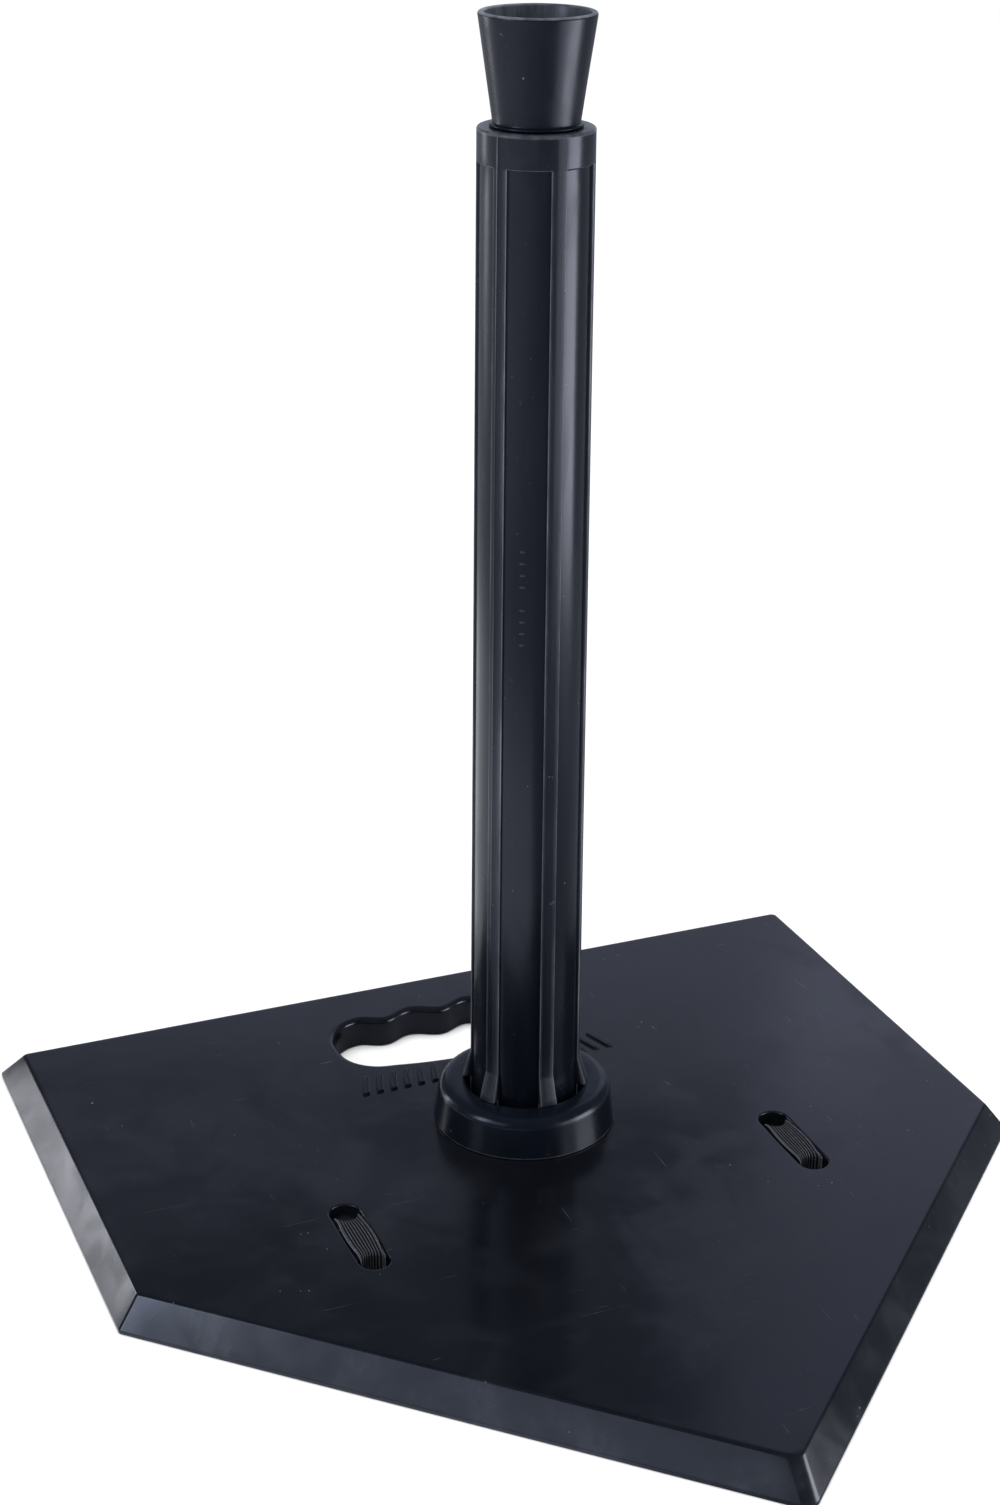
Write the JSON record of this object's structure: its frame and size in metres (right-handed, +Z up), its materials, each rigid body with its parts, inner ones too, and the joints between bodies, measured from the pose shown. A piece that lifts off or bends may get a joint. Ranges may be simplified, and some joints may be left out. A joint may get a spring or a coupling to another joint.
{
  "type": "batting tee",
  "caption": "Batting tee: flat pentagonal rubber base with a carrying slot, a ribbed upright post in a socket, and a sliding inner tube that ends in a flared ball cup.",
  "frame": {"origin": "on the ground, under the middle of the base plate", "axes": "+Z up along the post, +Y towards the long edge of the plate beside the carrying slot, -Y towards the apex, +X to the right when looking along +Y"},
  "size_m": [0.4318, 0.4321, 0.5165],
  "materials": {
    "plate_rubber": "semi-gloss moulded rubber, cloudy, with dust and fine scratches",
    "post_rubber": "semi-gloss moulded rubber, scuffed on the rib edges",
    "tube_rubber": "satin moulded rubber",
    "cup_rubber": "satin moulded rubber",
    "webbing": "ribbed elastic webbing"
  },
  "bodies": {
    "base": {"base_plate": "plate_rubber", "post_socket": "post_rubber", "strap_left": "webbing", "strap_right": "webbing"},
    "post": {"outer_post": "post_rubber"},
    "tube": {"inner_tube": "tube_rubber", "ball_cup": "cup_rubber"}
  },
  "joints": [
    {"name": "post_lift", "type": "slide", "parent": "base", "child": "post", "axis": [0, 0, 1], "range_m": [0, 0.045]},
    {"name": "height_adjust", "type": "slide", "parent": "post", "child": "tube", "axis": [0, 0, 1], "range_m": [0, 0.34]}
  ]
}
